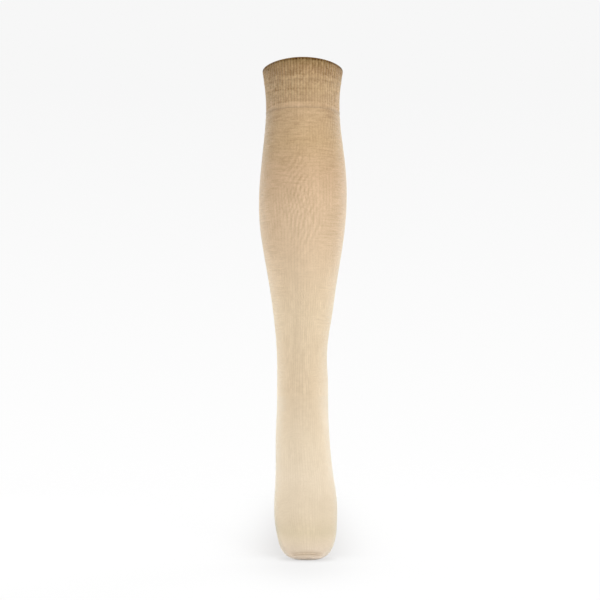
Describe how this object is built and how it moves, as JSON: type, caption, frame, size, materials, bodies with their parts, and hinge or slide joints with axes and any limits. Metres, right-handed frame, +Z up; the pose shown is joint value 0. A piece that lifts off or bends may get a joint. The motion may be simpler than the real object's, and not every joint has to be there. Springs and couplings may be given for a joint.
{
  "type": "diabetic knee sock",
  "caption": "Worn-form knee-high knitted sock with a broad double ribbed welt, plain-knit leg, turned heel, pointed foot and flat-linked toe, hollow and open at the top.",
  "frame": {"origin": "middle of the welt on the leg's axis, where the wearer's leg holds the sock up", "axes": "+Z up the leg and out of the sock's mouth, toes towards -Y, +X to the little-toe side of a left foot"},
  "size_m": [0.0996, 0.1516, 0.5328],
  "materials": {
    "rib_knit": "matt cotton rib, tan, dense where it is doubled",
    "plain_knit": "matt fine plain knit, tan at the calf fading to cream at the foot",
    "toe_knit": "matt fine plain knit, cream, with a flat linked seam"
  },
  "bodies": {
    "root": {"welt": "rib_knit", "leg": "plain_knit", "heel": "plain_knit", "foot": "plain_knit", "toe": "toe_knit"}
  },
  "joints": []
}
